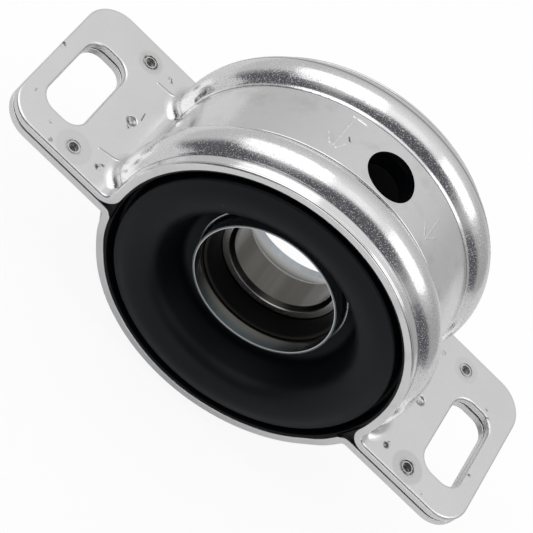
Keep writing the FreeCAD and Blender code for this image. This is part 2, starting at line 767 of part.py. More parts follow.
def dust_seal(name, side):
    """The rubber cone inside a tube, moulded on its steel ring's flange."""
    inside = dim["shoulder_place"] - dim["sleeve_wall"]
    if side > 0:
        inside = inside - dim["sleeve_wall"]
    outer = dim["shoulder_place"] + dim["dust_front"]
    tube = dim["tube_radius"] - dim["sleeve_wall"]
    tip = half_bearing + dim["dust_play"]
    wall, hole = dim["retainer_wall"], dim["retainer_hole"]
    eye, thick = dim["dust_eye"], dim["dust_wall"]
    points = [(tube, inside + 0.0), (hole, inside), (hole, inside - wall),
              (hole, inside - dim["dust_heel"]), (tube + thick, inside - dim["dust_heel"]),
              (eye + thick, tip), (eye, tip), (eye, tip + 0.4 * thick),
              (tube - thick, outer), (tube, outer)]
    return turned(name, mirrored(points, side))


def inner_race():
    """The inner race: chamfered bore, ball track and steps for the seals."""
    end, step = half_bearing, half_bearing - dim["seal_depth"]
    land, seat = inner_land, seal_step
    bore, lead, across = dim["bore_radius"], dim["bore_lead"], dim["bore_chamfer"]
    track = ball_radius + dim["ball_play"]
    rise = pitch_radius - land
    half = root(track * track - rise * rise)
    points = [(bore, lead - end), (bore + across, -end), (seat, -end), (seat, -step),
              (land, -step), (land, -half), (land, half), (land, step), (seat, step),
              (seat, end), (bore + across, end), (bore, end - lead)]
    return turned("inner_race", points, {5: (track, -1)})


def outer_race():
    """The outer race: chamfered outside, ball track and seats for the seals."""
    end, step = half_bearing, half_bearing - dim["seal_depth"]
    land, seat = outer_land, seal_seat
    outside, chamfer = dim["race_radius"], dim["race_chamfer"]
    track = ball_radius + dim["ball_play"]
    rise = land - pitch_radius
    half = root(track * track - rise * rise)
    points = [(outside, chamfer - end), (outside, end - chamfer), (outside - chamfer, end),
              (seat, end), (seat, step), (land, step), (land, half), (land, -half),
              (land, -step), (seat, -step), (seat, -end), (outside - chamfer, -end)]
    return turned("outer_race", points, {6: (track, -1)})


def bearing_seal(name, side):
    """A seal of the bearing, seated in the outer race, its lip round the inner."""
    step = half_bearing - dim["seal_depth"]
    face, lip = step + dim["seal_sheet"], dim["seal_lip"]
    eye, seat = seal_step + dim["lip_play"], seal_seat
    clear = inner_land + lip
    points = [(seat, step), (seat, face + lip), (seat - 4 * lip, face + lip),
              (seat - 5 * lip, face), (clear + 2 * lip, face), (clear + lip, face + lip),
              (eye, face + lip), (eye, step + lip), (clear, step + lip), (clear + lip, step)]
    return turned(name, mirrored(points, side))


def cage_half(name, side):
    """Half of the cage: a ring with a round pocket for each ball."""
    inside = pitch_radius - dim["cage_web"]
    outside = pitch_radius + dim["cage_web"]
    far = side * dim["cage_half"]
    body = turned(name, [(inside, as_size(0)), (outside, as_size(0)), (outside, far),
                         (inside, far)])
    pitch, pocket = pitch_radius, ball_radius + dim["pocket_play"]
    sketch = new_sketch(body, name + "_pocket")
    arc = (pocket, 1)
    half_disc = [(pitch, -pocket), (pitch + pocket, as_size(0)), (pitch, pocket)]
    outline(sketch, half_disc, {0: arc, 1: arc})
    cut = body.newObject("PartDesign::Groove", name + "_first_pocket")
    cut.Profile = sketch
    cut.ReferenceAxis = (sketch, ["Edge3"])
    cut.Angle = 360
    finish(cut)
    around(body, name + "_pockets", cut, sketch)
    step = as_size(180) / dim["ball_count"]
    sketch = new_sketch(body, name + "_rivet_hole", role="XZ_Plane")
    circle(sketch, pitch * cosine(step), pitch * sine(step), dim["rivet_radius"], "hole")
    hole = body.newObject("PartDesign::Pocket", name + "_first_hole")
    hole.Profile = sketch
    hole.Type = "ThroughAll"
    hole.Midplane = True
    finish(hole)
    around(body, name + "_holes", hole, sketch, "N_Axis")
    return body


def around(body, name, feature, sketch, axis="V_Axis"):
    """Repeat a cut of the cage once for each ball."""
    pattern = body.newObject("PartDesign::PolarPattern", name)
    pattern.Originals = [feature]
    pattern.Axis = (sketch, [axis])
    pattern.Angle = 360
    pattern.setExpression("Occurrences", dim["ball_count"].text)
    body.Tip = pattern
    finish(pattern)


def set_on_circle(item, number, offset):
    """Place a piece on the circle of balls, offset by a share of a step."""
    turn = as_size(360) * (number + offset) / dim["ball_count"]
    item.setExpression("Placement.Base.x", (pitch_radius * cosine(turn)).text)
    item.setExpression("Placement.Base.z", (pitch_radius * sine(turn)).text)


def ball(number):
    """One ball, on the circle of balls."""
    sphere = doc.addObject("Part::Sphere", "ball_%02d" % (number + 1))
    sphere.Label = sphere.Name
    sphere.setExpression("Radius", ball_radius.text)
    set_on_circle(sphere, number, 0)
    return sphere


def rivet(number):
    """One rivet of the cage, between two balls."""
    stem, head = dim["rivet_radius"], dim["rivet_head"]
    end = dim["cage_half"]
    cap = end + dim["rivet_cap"]
    points = [(as_size(0), -cap), (stem, -cap), (head, -end), (stem, -end), (stem, end),
              (head, end), (stem, cap), (as_size(0), cap)]
    body = turned("cage_rivet_%02d" % (number + 1), points)
    set_on_circle(body, number, 0.5)
    return body


def finish(feature):
    """Recompute, and make sure that a cut or a pad changed its body."""
    doc.recompute()
    shape = feature.Shape
    base = feature.BaseFeature
    if base is not None and abs(base.Shape.Volume - shape.Volume) < 1e-3:
        raise RuntimeError(feature.Name + " changes nothing")


def build():
    """Every piece of the part, in the order that it is put together."""
    pieces = [half_shell("upper_shell", 1), half_shell("lower_shell", -1), cushion(),
              front_sleeve(), rear_sleeve(),
              retainer("front_seal_ring", -1), dust_seal("front_dust_seal", -1),
              retainer("rear_seal_ring", 1), dust_seal("rear_dust_seal", 1),
              outer_race(), inner_race(),
              bearing_seal("front_bearing_seal", -1), bearing_seal("rear_bearing_seal", 1),
              cage_half("cage_front", -1), cage_half("cage_rear", 1)]
    count = int(dim["ball_count"].value)
    pieces += [ball(number) for number in range(count)]
    pieces += [rivet(number) for number in range(count)]
    return pieces


def check(pieces):
    """Stop if any object failed or any piece isn't one valid solid."""
    for item in doc.Objects:
        if "Invalid" in item.State or "Error" in item.State:
            raise RuntimeError("%s is %s" % (item.Name, item.State))
    for piece in pieces:
        shape = piece.Shape
        if shape.isNull() or not shape.isValid() or len(shape.Solids) != 1:
            raise RuntimeError(piece.Label + " is not one valid solid")


def write(pieces):
    os.makedirs("parts", exist_ok=True)
    for piece in pieces:
        piece.Shape.exportStep(os.path.join("parts", piece.Label + ".step"))
        print("%-20s %10.1f mm3" % (piece.Label, piece.Shape.Volume))


pieces = build()
doc.recompute()
check(pieces)
write(pieces)
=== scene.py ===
# %% [markdown]
# A driveshaft centre bearing hangs under a car and carries the joint between
# the two halves of the driveshaft. Two pressed and zinc-plated half shells
# clamp a black rubber cushion, and the cushion carries a sealed ball bearing
# in a thin steel sleeve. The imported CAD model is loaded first, because every
# piece made here is placed by it and moves with one of its bodies.

import json
import math

import bpy
from mathutils import Matrix, Vector


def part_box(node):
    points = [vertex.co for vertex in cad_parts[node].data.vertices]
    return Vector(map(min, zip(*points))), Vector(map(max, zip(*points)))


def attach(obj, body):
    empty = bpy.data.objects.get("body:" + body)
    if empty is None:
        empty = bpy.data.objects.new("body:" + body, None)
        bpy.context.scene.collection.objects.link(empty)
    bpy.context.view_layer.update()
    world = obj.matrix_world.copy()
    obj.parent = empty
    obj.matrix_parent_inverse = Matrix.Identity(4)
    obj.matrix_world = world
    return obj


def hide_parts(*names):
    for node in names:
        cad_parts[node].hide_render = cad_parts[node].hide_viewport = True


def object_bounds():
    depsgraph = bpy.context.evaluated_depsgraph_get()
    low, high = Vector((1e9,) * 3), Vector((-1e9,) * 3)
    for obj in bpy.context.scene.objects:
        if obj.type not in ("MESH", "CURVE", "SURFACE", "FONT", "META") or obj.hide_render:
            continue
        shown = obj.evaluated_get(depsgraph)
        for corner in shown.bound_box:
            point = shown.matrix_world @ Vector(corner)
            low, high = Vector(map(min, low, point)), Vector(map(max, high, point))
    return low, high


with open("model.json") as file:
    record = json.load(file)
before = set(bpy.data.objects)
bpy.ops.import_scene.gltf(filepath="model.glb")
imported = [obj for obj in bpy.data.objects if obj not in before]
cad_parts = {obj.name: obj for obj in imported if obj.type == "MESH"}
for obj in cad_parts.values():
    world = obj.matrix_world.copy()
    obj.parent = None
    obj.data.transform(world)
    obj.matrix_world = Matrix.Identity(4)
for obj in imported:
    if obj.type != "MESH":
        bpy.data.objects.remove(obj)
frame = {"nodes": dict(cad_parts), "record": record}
nodes = frame["nodes"]
MM = 0.001


def corners(bounds):
    """A box as two plain lists of numbers."""
    return [[float(value) for value in corner] for corner in bounds]


cad_box = corners(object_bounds())
print("CAD box in metres:", cad_box)

# %% [markdown]
# The camera stands well back, so the perspective is mild, and it looks down
# along the bearing's axis with a strong roll, which puts one ear at the top
# left and the other at the bottom right. A constraint could aim it at a point,
# but the roll would be lost, so its three directions are written as rows: to
# the right in the picture, down in the picture, and into it.

# %% Camera
CAMERA_PLACE = Vector((-78.39, -373.26, 394.24)) * MM
CAMERA_RIGHT = Vector((0.71172, 0.44439, 0.54403))
CAMERA_DOWN = Vector((0.68857, -0.59460, -0.41512))
CAMERA_INTO = Vector((0.13900, 0.67005, -0.72918))
SENSOR_WIDTH = 36.0
PICTURE_WIDTH = 533
FOCAL_PIXELS = 2058.8
NEAREST, FARTHEST = 0.01, 20.0

camera_data = bpy.data.cameras.new("studio_camera")
camera_data.sensor_width = SENSOR_WIDTH
camera_data.lens = FOCAL_PIXELS * SENSOR_WIDTH / PICTURE_WIDTH
camera_data.clip_start = NEAREST
camera_data.clip_end = FARTHEST
camera = bpy.data.objects.new("studio_camera", camera_data)
bpy.context.scene.collection.objects.link(camera)
axes = Matrix((CAMERA_RIGHT, -CAMERA_DOWN, -CAMERA_INTO)).transposed()
camera.matrix_world = Matrix.Translation(CAMERA_PLACE) @ axes.to_4x4()
bpy.context.scene.camera = camera
print("Lens in millimetres:", round(camera_data.lens, 2))

# %% [markdown]
# A material is easier to read when its maths looks like maths. Nodes could be
# added and linked one by one, but then a formula takes a page. The class below
# wraps a socket of a node tree instead. A sum or product of two wrapped
# sockets adds the Math node for it, and any other node comes from one method,
# which takes its settings first and then its sockets by number or name.

# %% Shader maths
class Wire:
    """A socket of a node tree. Sums and products of wires add Math nodes."""

    def __init__(self, tree, socket=None):
        self.tree = tree
        self.socket = socket

    def plug(self, socket, value):
        """Link a wire to a socket, or set a plain value on it."""
        if isinstance(value, Wire):
            self.tree.links.new(value.socket, socket)
        elif socket.type == "RGBA":
            socket.default_value = (*value, 1.0)
        else:
            socket.default_value = value

    def node(self, kind, settings=None, sockets=None, output=0):
        """Any node: its settings first, then a value or a wire for sockets."""
        made = self.tree.nodes.new(kind)
        for name, value in (settings or {}).items():
            setattr(made, name, value)
        for name, value in (sockets or {}).items():
            self.plug(made.inputs[name], value)
        return Wire(self.tree, made.outputs[output])

    def math(self, operation, *values, clamp=False):
        settings = {"operation": operation, "use_clamp": clamp}
        return self.node("ShaderNodeMath", settings, dict(enumerate(values)))

    def __add__(self, other):
        return self.math("ADD", self, other)

    def __radd__(self, other):
        return self.math("ADD", other, self)

    def __sub__(self, other):
        return self.math("SUBTRACT", self, other)

    def __rsub__(self, other):
        return self.math("SUBTRACT", other, self)

    def __mul__(self, other):
        return self.math("MULTIPLY", self, other)

    def __rmul__(self, other):
        return self.math("MULTIPLY", other, self)

    def __truediv__(self, other):
        return self.math("DIVIDE", self, other)

    def clamped(self):
        return self.math("ADD", self, 0.0, clamp=True)

    def size(self):
        return self.math("ABSOLUTE", self)

    def root(self):
        return self.math("SQRT", self)

    def least(self, other):
        return self.math("MINIMUM", self, other)

    def most(self, other):
        return self.math("MAXIMUM", self, other)

    def above(self, edge):
        """1 where the value is over the edge, and 0 elsewhere."""
        return self.math("GREATER_THAN", self, edge)

    def fade(self, start, end):
        """0 at start and 1 at end, with a smooth change between."""
        if start > end:
            return 1.0 - self.fade(end, start)
        return self.node("ShaderNodeMapRange", {"interpolation_type": "SMOOTHSTEP"},
                         {0: self, 1: start, 2: end})

    def parts(self):
        """The three numbers of this vector."""
        made = self.node("ShaderNodeSeparateXYZ", sockets={0: self})
        return [Wire(self.tree, socket) for socket in made.socket.node.outputs]


# %% [markdown]
# Each finish is one Principled shader whose sockets follow the place on the
# piece. A painted map would need unwrapping. The pieces share one origin
# instead, with the shaft's axis along Y, so a ring, a line or a mark is a
# formula in millimetres on object coordinates.

# %% A finish
NOISE_ROUGHNESS = 0.55


class Finish:
    """A material with one Principled shader, read in object coordinates."""

    def __init__(self, name, values):
        self.material = bpy.data.materials.new(name)
        self.material.use_nodes = True
        self.tree = self.material.node_tree
        self.shader = self.tree.nodes["Principled BSDF"]
        self.maker = Wire(self.tree)
        self.place = self.maker.node("ShaderNodeTexCoord", output="Object")
        self.x, self.y, self.z = [part / MM for part in self.place.parts()]
        self.set(values)

    def set(self, values):
        """Give sockets of the shader a plain value or a wire."""
        for name, value in values.items():
            self.maker.plug(self.shader.inputs[name], value)

    def joined(self, x, y, z):
        """A vector from three numbers."""
        return self.maker.node("ShaderNodeCombineXYZ", sockets={0: x, 1: y, 2: z})

    def noise(self, scale, detail, vector=None):
        """Noise with so many grains to a metre, or to a unit of the vector."""
        return self.maker.node("ShaderNodeTexNoise", sockets={
            "Vector": vector or self.place, "Scale": scale, "Detail": detail,
            "Roughness": NOISE_ROUGHNESS})

    def mix(self, mask, low, high):
        """A colour between low and high, by a mask from 0 to 1. The node has
        its colours at sockets 6 and 7 and gives the mixed one at output 2."""
        settings = {"data_type": "RGBA"}
        return self.maker.node("ShaderNodeMix", settings, {0: mask, 6: low, 7: high}, 2)

    def bump(self, height, depth, under=None, strength=1.0):
        """A bump of a depth in millimetres, on top of another if one is given."""
        sockets = {"Height": height, "Strength": strength, "Distance": depth * MM}
        if under is not None:
            sockets["Normal"] = under
        return self.maker.node("ShaderNodeBump", sockets=sockets)

    def angle(self):
        """The angle round the shaft's axis, from the top, in radians."""
        return self.maker.math("ARCTAN2", self.x, self.z)

    def reach(self):
        """The distance from the shaft's axis, in millimetres."""
        return (self.x * self.x + self.z * self.z).root()


# %% [markdown]
# Most of the part is round, so its soft pieces are turned as on a lathe. A
# plane is merged to one point, the point is extruded along the section, and
# the section is spun round the shaft's axis. Stacked cylinders could give the
# same steps, but not the arcs between them. Here an arc is a radius and a
# side, the way a draughtsman gives it.

# %% The section of a turned piece
ARC_STEP = 12.0


def arc_points(start, end, radius, side):
    """Points of an arc from start to end, its centre left (1) or right (-1)."""
    (x0, y0), (x1, y1) = start, end
    chord = math.hypot(x1 - x0, y1 - y0)
    reach = math.sqrt(max(radius ** 2 - chord ** 2 / 4, 0.0))
    across = (-(y1 - y0) / chord * side, (x1 - x0) / chord * side)
    centre = ((x0 + x1) / 2 + across[0] * reach, (y0 + y1) / 2 + across[1] * reach)
    first = math.atan2(y0 - centre[1], x0 - centre[0])
    turn = math.atan2(y1 - centre[1], x1 - centre[0]) - first
    turn = (turn % (2 * math.pi)) if side > 0 else -((-turn) % (2 * math.pi))
    count = max(1, math.ceil(abs(math.degrees(turn)) / ARC_STEP))
    angles = [first + turn * number / count for number in range(1, count)]
    return [(centre[0] + radius * math.cos(a), centre[1] + radius * math.sin(a)) for a in angles]


def rounded(corners_and_arcs):
    """A closed section with its arcs filled in. Each corner comes with None or
    with the radius and side of the arc that leaves it."""
    section = []
    for number, (start, arc) in enumerate(corners_and_arcs):
        section.append(start)
        if arc:
            end = corners_and_arcs[(number + 1) % len(corners_and_arcs)][0]
            section += arc_points(start, end, *arc)
    return section


# %% Turned pieces
DOUBLES = 0.000002
MADE = []


def draw(name, section, upright=False):
    """Draw a closed section as a chain of edges: radius and Y, or X and Z."""
    bpy.ops.object.select_all(action="DESELECT")
    bpy.ops.mesh.primitive_plane_add(size=MM)
    piece = bpy.context.object
    piece.name = piece.data.name = name
    bpy.ops.object.mode_set(mode="EDIT")
    bpy.ops.mesh.select_all(action="SELECT")
    bpy.ops.mesh.merge(type="CENTER")
    place = (0.0, 0.0)
    for number, (u, v) in enumerate(section + [section[0]]):
        du, dv = (u - place[0]) * MM, (v - place[1]) * MM
        step = (du, 0, dv) if upright else (du, dv, 0)
        if number == 0:
            bpy.ops.transform.translate(value=step)
        else:
            bpy.ops.mesh.extrude_region_move(TRANSFORM_OT_translate={"value": step})
        place = (u, v)
    bpy.ops.mesh.select_all(action="SELECT")
    bpy.ops.mesh.remove_doubles(threshold=DOUBLES)
    return piece


def close_up(piece, angle, slot):
    """Merge doubles, turn the faces outward, smooth them, give slot and body."""
    bpy.ops.mesh.select_all(action="SELECT")
    bpy.ops.mesh.remove_doubles(threshold=DOUBLES)
    bpy.ops.mesh.normals_make_consistent(inside=False)
    bpy.ops.object.mode_set(mode="OBJECT")
    bpy.ops.object.shade_smooth_by_angle(angle=math.radians(angle))
    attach(piece, "housing")
    MADE.append((piece, slot))
    print(piece.name, "has", len(piece.data.polygons), "faces")


def lathe(name, section, slot, steps, angle):
    """A closed section of radius and Y, spun once round the shaft's axis."""
    piece = draw(name, section)
    bpy.ops.mesh.select_all(action="SELECT")
    bpy.ops.mesh.spin(steps=steps, angle=2 * math.pi, center=(0, 0, 0), axis=(0, 1, 0))
    close_up(piece, angle, slot)
    return piece


# %% [markdown]
# The cushion is one moulding of black rubber. Seen from the front it is a
# thick crowned roll behind a narrow groove, which falls into a deep trough
# round the sleeve. Behind the roll a narrow hollow opens to the rear, so that
# the hub can move in the shells. Its outside fills both beads, so the beads'
# arcs are worked out from the sheet's sizes. It is a soft piece, so it is
# turned here in full and stands for its CAD solid.

# %% Sizes of the shells, in millimetres
SHELL_BORE, SHEET = 43.4, 2.3
SHELL_OUTSIDE = SHELL_BORE + SHEET
BEAD_PLACE, BEAD_HALF, BEAD_HEIGHT, BEAD_ROOT = 16.35, 6.7, 3.5, 1.4
FRONT_RIM, REAR_RIM = -25.6, 23.3


def bead(middle):
    """The inside of a shell's bead, front to rear: points with their arcs."""
    square = BEAD_HALF ** 2 + BEAD_HEIGHT ** 2
    across = 2 * BEAD_HALF * BEAD_HEIGHT / square
    along = (BEAD_HALF ** 2 - BEAD_HEIGHT ** 2) / square
    root = BEAD_ROOT + SHEET
    crest = square / (2 * BEAD_HEIGHT) - root
    rise, step = root * (1 - along), root * across
    return [((SHELL_BORE, middle - BEAD_HALF), (root, -1)),
            ((SHELL_BORE + rise, middle - BEAD_HALF + step), (crest, 1)),
            ((SHELL_BORE + rise, middle + BEAD_HALF - step), (root, -1)),
            ((SHELL_BORE, middle + BEAD_HALF), None)]


# %% Sizes of the cushion, in millimetres
# The hollow behind the roll: its outer wall, the hub, its bend and its depth
RING, HUB, HOLLOW, HOLLOW_FLOOR = 38.6, 33.5, 2.55, -17.45
# The seat on the sleeve: its end, the barrel, and the shoulder in front
HUB_END, BARREL, BARREL_CORNER = 13.0, 28.1, 1.2
SHOULDER, FLARE, FLARE_EDGE = -12.2, 22.0, 0.7
# The trough: its foot, and the start of the wall that climbs to the roll
FOOT_IN, FOOT_RISE, FOOT_CORNER = 24.5, 1.18, 3.2
WALL_IN, WALL_RISE = 26.3, 3.4
# The roll: its inner side, its crown and its outer corner
ROLL_SIDE, ROLL_DROP, ROLL_SHOULDER = 28.2, 3.8, 6.4
ROLL_EDGE, ROLL_CORNER, ROLL_CROWN, ROLL_IN = -25.8, 0.9, 9.35, 31.0
# The groove outside the roll, and the thin lip of rubber along the shell
GROOVE_OUT, GROOVE_IN, GROOVE_FLOOR, GROOVE_CORNER = 42.7, 40.7, -21.4, 1.0
LIP = 0.25
# Steps of the spin, and the angle in degrees up to which edges look smooth
CUSHION_STEPS, CUSHION_SMOOTH = 240, 35

# %% The cushion
OUTSIDE = [((SHELL_BORE, FRONT_RIM), None), *bead(-BEAD_PLACE), *bead(BEAD_PLACE)]
REAR = [
    ((SHELL_BORE, REAR_RIM), None), ((RING, REAR_RIM), None),
    ((RING, HOLLOW_FLOOR), (HOLLOW, -1)),
    ((RING - HOLLOW, HOLLOW_FLOOR - HOLLOW), (HOLLOW, -1)),
    ((HUB, HOLLOW_FLOOR), None), ((HUB, HUB_END), None), ((BARREL, HUB_END), None)]
TROUGH = [
    ((BARREL, SHOULDER + BARREL_CORNER), (BARREL_CORNER, -1)),
    ((BARREL - BARREL_CORNER, SHOULDER), None),
    ((FLARE, SHOULDER), None), ((FLARE, SHOULDER - FLARE_EDGE), None),
    ((FOOT_IN, SHOULDER - FOOT_RISE), (FOOT_CORNER, -1)),
    ((WALL_IN, SHOULDER - WALL_RISE), None)]
FRONT = [
    ((ROLL_SIDE, ROLL_EDGE + ROLL_DROP), (ROLL_SHOULDER, 1)),
    ((ROLL_IN, ROLL_EDGE), (ROLL_CROWN, 1)),
    ((GROOVE_IN - ROLL_CORNER, ROLL_EDGE), (ROLL_CORNER, 1)),
    ((GROOVE_IN, ROLL_EDGE + ROLL_CORNER), None),
    ((GROOVE_IN, GROOVE_FLOOR), (GROOVE_CORNER, -1)),
    ((GROOVE_IN + GROOVE_CORNER, GROOVE_FLOOR + GROOVE_CORNER), (GROOVE_CORNER, -1)),
    ((GROOVE_OUT, GROOVE_FLOOR), None),
    ((GROOVE_OUT, FRONT_RIM + LIP), (LIP, 1)), ((GROOVE_OUT + LIP, FRONT_RIM), None)]
cushion = lathe("cushion", rounded(OUTSIDE + REAR + TROUGH + FRONT), "cushion_rubber",
                CUSHION_STEPS, CUSHION_SMOOTH)

# %% [markdown]
# The round hole in the top of the shell goes on through the rubber into the
# hollow, so it looks black. A hole across a turned piece can't be part of its
# section, so a cylinder is taken from the cushion by a Boolean modifier and
# then deleted.

# %% The hole through the cushion
HOLE_PLACE, HOLE_RADIUS, HOLE_BOTTOM, HOLE_TOP = -1.4, 7.6, 35.0, 50.0
HOLE_SIDES = 72
bpy.ops.object.select_all(action="DESELECT")
bpy.ops.mesh.primitive_cylinder_add(
    vertices=HOLE_SIDES, radius=HOLE_RADIUS * MM, depth=(HOLE_TOP - HOLE_BOTTOM) * MM,
    location=(0, HOLE_PLACE * MM, (HOLE_TOP + HOLE_BOTTOM) / 2 * MM))
punch = bpy.context.object
hole = cushion.modifiers.new("hole", "BOOLEAN")
hole.operation = "DIFFERENCE"
hole.object = punch
bpy.ops.object.select_all(action="DESELECT")
cushion.select_set(True)
bpy.context.view_layer.objects.active = cushion
bpy.ops.object.modifier_apply(modifier="hole")
bpy.ops.object.shade_smooth_by_angle(angle=math.radians(CUSHION_SMOOTH))
bpy.data.objects.remove(punch)
print("cushion with its hole has", len(cushion.data.polygons), "faces")

# %% [markdown]
# Where the shells turn out to the ears they leave a wedge-shaped gap, which
# the rubber fills on both sides. A tongue isn't round, so it can't be turned.
# Its section follows both bends, is drawn upright, and is extruded along the
# shaft. Its wide end is buried a little in the cushion.

# %% The tongues between the shells
UPPER_FOOT, LOWER_FOOT, TONGUE_REACH = 3.0, 1.3, 47.4
SEAM_TOP, SEAM_BOTTOM = -9.275, -9.725
BURY, TONGUE_SMOOTH = 0.992, 30


def shell_bend(side, seam, foot):
    """Where a shell turns into its ear: middle, radius and start of the bend."""
    drop = seam + side * (SHEET + foot)
    distance = SHELL_OUTSIDE + foot
    across = math.sqrt(distance ** 2 - drop ** 2)
    share = SHELL_BORE / distance
    return (across, drop), foot + SHEET, (across * share, drop * share)


high, high_radius, high_start = shell_bend(1, SEAM_TOP, UPPER_FOOT)
low, low_radius, low_start = shell_bend(-1, SEAM_BOTTOM, LOWER_FOOT)
tip = high[1] - math.sqrt(high_radius ** 2 - (high[0] - TONGUE_REACH) ** 2)
for hand, name in ((1, "tongue_right"), (-1, "tongue_left")):
    wedge = [((hand * high_start[0] * BURY, high_start[1] * BURY), None),
             ((hand * high_start[0], high_start[1]), (high_radius, hand)),
             ((hand * TONGUE_REACH, tip), None), ((hand * TONGUE_REACH, SEAM_BOTTOM), None),
             ((hand * low[0], SEAM_BOTTOM), (low_radius, hand)),
             ((hand * low_start[0], low_start[1]), None),
             ((hand * low_start[0] * BURY, low_start[1] * BURY), None)]
    tongue = draw(name, rounded(wedge), upright=True)
    bpy.ops.mesh.select_all(action="SELECT")
    bpy.ops.mesh.edge_face_add()
    bpy.ops.transform.translate(value=(0, FRONT_RIM * MM, 0))
    length = (0, (REAR_RIM - FRONT_RIM) * MM, 0)
    bpy.ops.mesh.extrude_region_move(TRANSFORM_OT_translate={"value": length})
    close_up(tongue, TONGUE_SMOOTH, "cushion_rubber")
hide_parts("rubber_cushion")

# %% [markdown]
# Inside each tube sits a dust seal, a cone of rubber on a steel ring. Its
# thin lip reaches in to the bearing's inner race. The front one and its
# mirror image at the rear come from the same outline, but the rear flange is
# clamped a little nearer the bearing, because its tube is shorter. Each seal
# is soft, so it is turned here and stands for its CAD solid.

# %% The dust seals
# The sleeve's tube, and the flange that the ring clamps
TUBE_INSIDE = 20.35
FLANGE_OUT, FLANGE_BACK, FLANGE_FRONT = 22.6, 9.9, 11.6
# The cone's outer end, its wall, the lip at its small end and the rim outside
CONE_TOP, CONE_WALL, CONE_ROUND, CONE_CORNER = 21.45, 19.25, 0.35, 0.5
LIP_TIP, LIP_END, LIP_ROUND, LIP_LENGTH, TIP_ROUND = 18.15, 6.85, 0.15, 0.75, 0.25
RIM_END, RIM_ROUND, RIM_CORNER = 12.8, 0.3, 0.4
REAR_SHIFT = 0.6
SEAL_STEPS, SEAL_SMOOTH = 120, 40


def dust_outline(shift):
    """A dust seal's outline, with its flange clamped nearer by shift: radius
    and distance from the bearing's middle."""
    back, front = FLANGE_BACK - shift, FLANGE_FRONT - shift
    return [((TUBE_INSIDE, FLANGE_FRONT), None), ((FLANGE_OUT, front), None),
            ((FLANGE_OUT, back), None), ((CONE_TOP, back), None),
            ((CONE_WALL + CONE_ROUND, LIP_END + LIP_ROUND), (CONE_CORNER, -1)),
            ((CONE_WALL, LIP_END), None),
            ((LIP_TIP + LIP_ROUND, LIP_END), (TIP_ROUND, -1)),
            ((LIP_TIP, LIP_END + TIP_ROUND), None),
            ((LIP_TIP + LIP_ROUND, LIP_END + LIP_LENGTH), None),
            ((CONE_WALL, RIM_END - RIM_ROUND), (RIM_CORNER, -1)),
            ((CONE_WALL + CONE_ROUND, RIM_END), None),
            ((TUBE_INSIDE - TIP_ROUND, RIM_END), (RIM_ROUND, -1)),
            ((TUBE_INSIDE, RIM_END - RIM_ROUND), None)]


for side, name, shift in ((-1, "front_dust_seal", 0.0), (1, "rear_dust_seal", REAR_SHIFT)):
    section = [(radius, side * place) for radius, place in rounded(dust_outline(shift))]
    cone = lathe(name + "_cone", section, "seal_rubber", SEAL_STEPS, SEAL_SMOOTH)
    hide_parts(name)

# %% [markdown]
# The shells are pressed from sheet and then zinc-plated. The drum, its beads
# and the ears could be split into pieces with a material each, but then the
# plating would break at the joins. One finish covers them all instead, and
# masks tell them apart by their place. The masks are for the upper shell, and
# the ears' mask stops just above its underside. The lower shell stays plain.

# %% Zinc-plated sheet: the drum, the beads and the ears
DRUM_END, EAR_START, DRUM_BOTTOM, EAR_BOTTOM = 47.0, 51.0, -6.0, -8.8
BEAD_EDGE = 0.6
zinc = Finish("pressed_zinc", {"Metallic": 1.0})
around = zinc.angle() * SHELL_OUTSIDE
on_drum = zinc.x.size().fade(EAR_START, DRUM_END) * zinc.z.above(DRUM_BOTTOM)
on_ear = (1.0 - on_drum) * zinc.z.above(EAR_BOTTOM)
from_crest = (zinc.y.size() - BEAD_PLACE).size()
on_bead = from_crest.fade(BEAD_HALF + BEAD_EDGE, BEAD_HALF - BEAD_EDGE) * on_drum

# %% [markdown]
# The plating mirrors the room, but not as chrome does: fine crystals tip the
# surface, most of all on the beads, where the sheet is stretched. A rougher
# shader alone would blur every reflection alike, so the crystals are a very
# shallow bump instead. A slow swell and the faint lines of the press are bumps
# too. The lip before the front bead is tilted in a little, so it catches more
# light.

# %% Zinc-plated sheet: the plain surface
# Grains to a metre, and the depths of the bumps in millimetres
GRAINS, SWELLS, PATCHES = 3000.0, 230.0, 60.0
GRAIN_DEPTH, SWELL_DEPTH, DRAWN_DEPTH = 0.016, 0.045, 0.02
# The grain's share off the beads, and the press lines' length and closeness
PLAIN_GRAIN = 0.5
LONG_WAY, SHORT_WAY = 0.05, 1.4
# The lip: where it starts, and how much it is tilted
LIP_ROOT, LIP_SLOPE = -22.5, 0.17
grain = zinc.noise(GRAINS, 1.0)
patches = zinc.noise(PATCHES, 3.0)
swell = zinc.noise(SWELLS, 2.0)
stretched = zinc.joined(around * LONG_WAY, zinc.y * SHORT_WAY, zinc.reach() * SHORT_WAY)
drawn = zinc.noise(1.0, 3.0, stretched)
uneven = (0.5 + patches) * (PLAIN_GRAIN + (1.0 - PLAIN_GRAIN) * on_bead)
rolled_lip = (zinc.y - LIP_ROOT).least(0.0) * LIP_SLOPE * on_drum
relief = zinc.bump(grain * uneven, GRAIN_DEPTH)
relief = zinc.bump(swell * uneven, SWELL_DEPTH, relief)
relief = zinc.bump(drawn, DRAWN_DEPTH, relief)
relief = zinc.bump(rolled_lip, 1.0, relief)
